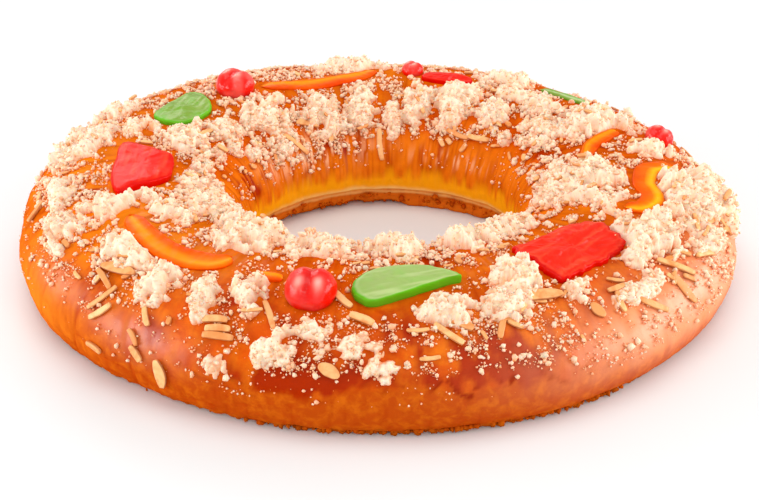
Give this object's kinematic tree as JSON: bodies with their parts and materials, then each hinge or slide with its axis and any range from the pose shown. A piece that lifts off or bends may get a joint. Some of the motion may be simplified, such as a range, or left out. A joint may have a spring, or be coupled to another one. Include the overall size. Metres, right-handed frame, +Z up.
{
  "type": "roscon de reyes",
  "caption": "Oval ring of sweet festive bread with candied fruit, moist sugar heaps and slivered almonds on top.",
  "frame": {"origin": "middle of the ring's outline, at the level of its flat base", "axes": "+X along the long axis of the oval, to the viewer's right; +Y away from the viewer; +Z up"},
  "size_m": [0.302, 0.2596, 0.0561],
  "materials": {
    "crust": "egg-washed golden brown crust with sugar and almonds",
    "cherry": "glossy candied cherry",
    "red_fruit": "glossy translucent candied slice",
    "green_fruit": "glossy translucent candied slice",
    "orange_peel": "glossy candied orange peel"
  },
  "bodies": {
    "root": {"crust": "crust", "cherry_front": "cherry", "cherry_back_left": "cherry", "cherry_right": "cherry", "cherry_back": "cherry", "red_slice_left": "red_fruit", "red_slice_right": "red_fruit", "red_slice_back": "red_fruit", "green_slice_left": "green_fruit", "green_wedge_front": "green_fruit", "green_strip_right": "green_fruit", "orange_strip_left": "orange_peel", "orange_strip_back": "orange_peel", "orange_curl_right": "orange_peel", "orange_strip_right": "orange_peel", "orange_bit_front": "orange_peel"}
  },
  "joints": []
}
